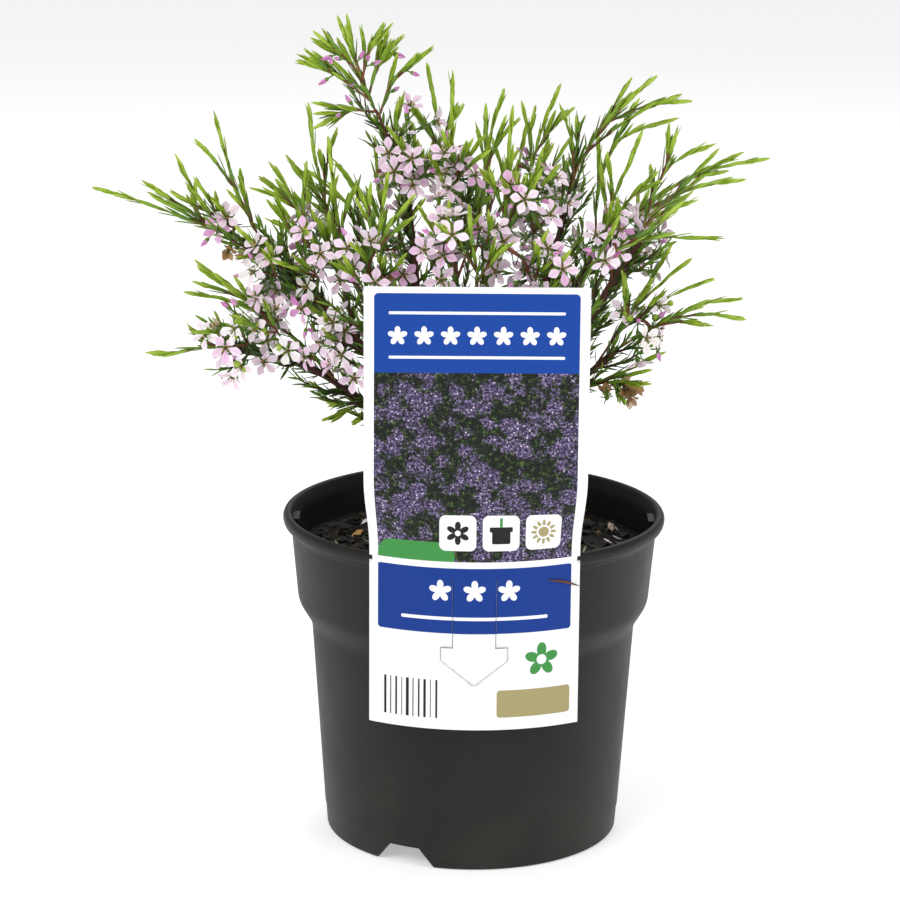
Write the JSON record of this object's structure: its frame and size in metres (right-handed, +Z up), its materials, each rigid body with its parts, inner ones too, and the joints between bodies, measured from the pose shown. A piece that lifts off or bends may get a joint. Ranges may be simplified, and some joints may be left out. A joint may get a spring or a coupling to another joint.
{
  "type": "potted pink diosma",
  "caption": "Small-leaved flowering shrub with pink five-petalled blooms, standing in a round black nursery pot with a tall plant label.",
  "frame": {"origin": "centre of the pot's underside, on its central foot disc", "axes": "+Z up, -Y towards the side that carries the label, +X to the right of someone facing the label"},
  "size_m": [0.2574, 0.1692, 0.308],
  "materials": {
    "pot_plastic": "injection-moulded black polypropylene, satin, slightly dusty",
    "potting_mix": "loose damp bark and peat mix",
    "label_film": "thin white polypropylene sheet, printed, satin",
    "bark": "thin rough reddish brown bark",
    "leaf": "narrow leathery leaves, semi-matt, dark green to lime",
    "petal": "thin matt petals, pale pink to white"
  },
  "bodies": {
    "root": {"pot": "pot_plastic", "soil": "potting_mix", "plant_label": "label_film", "woody_stem": "bark", "spray_back": "leaf", "spray_back_left": "leaf", "spray_back_low": "leaf", "spray_back_right": "leaf", "spray_centre_rear": "leaf", "spray_far_left": "leaf", "spray_front": "leaf", "spray_front_left": "leaf", "spray_left_inner": "leaf", "spray_left_mid": "leaf", "spray_left_rear": "leaf", "spray_left_tall": "leaf", "spray_left_upright": "leaf", "spray_low_left": "leaf", "spray_low_left_tip": "leaf", "spray_low_left_tuft": "leaf", "spray_right_front_low": "leaf", "spray_right_front_tall": "leaf", "spray_right_long": "leaf", "spray_right_longest": "leaf", "spray_right_low": "leaf", "spray_right_lowest": "leaf", "spray_right_middle": "leaf", "spray_right_rear_tall": "leaf", "spray_right_tall": "leaf", "spray_top": "leaf", "spray_upper_front": "leaf", "spray_upper_front_right": "leaf", "spray_upper_left": "leaf", "spray_upper_mid": "leaf", "spray_upper_right": "leaf", "blooms_back_centre": "petal", "blooms_back_mid_left": "petal", "blooms_back_mid_right": "petal", "blooms_back_outer_left": "petal", "blooms_back_outer_right": "petal", "blooms_centre": "petal", "blooms_centre_right": "petal", "blooms_front_left": "petal", "blooms_front_right": "petal", "blooms_left_inner": "petal", "blooms_left_lower": "petal", "blooms_left_mid": "petal", "blooms_left_outer": "petal", "blooms_low_front_left": "petal", "blooms_low_left": "petal", "blooms_low_right": "petal", "blooms_rear_high_left": "petal", "blooms_rear_high_right": "petal", "blooms_rear_low_left": "petal", "blooms_rear_low_right": "petal", "blooms_right_high": "petal", "blooms_side_left": "petal", "blooms_top": "petal", "blooms_upper_centre": "petal", "blooms_upper_right": "petal"}
  },
  "joints": []
}
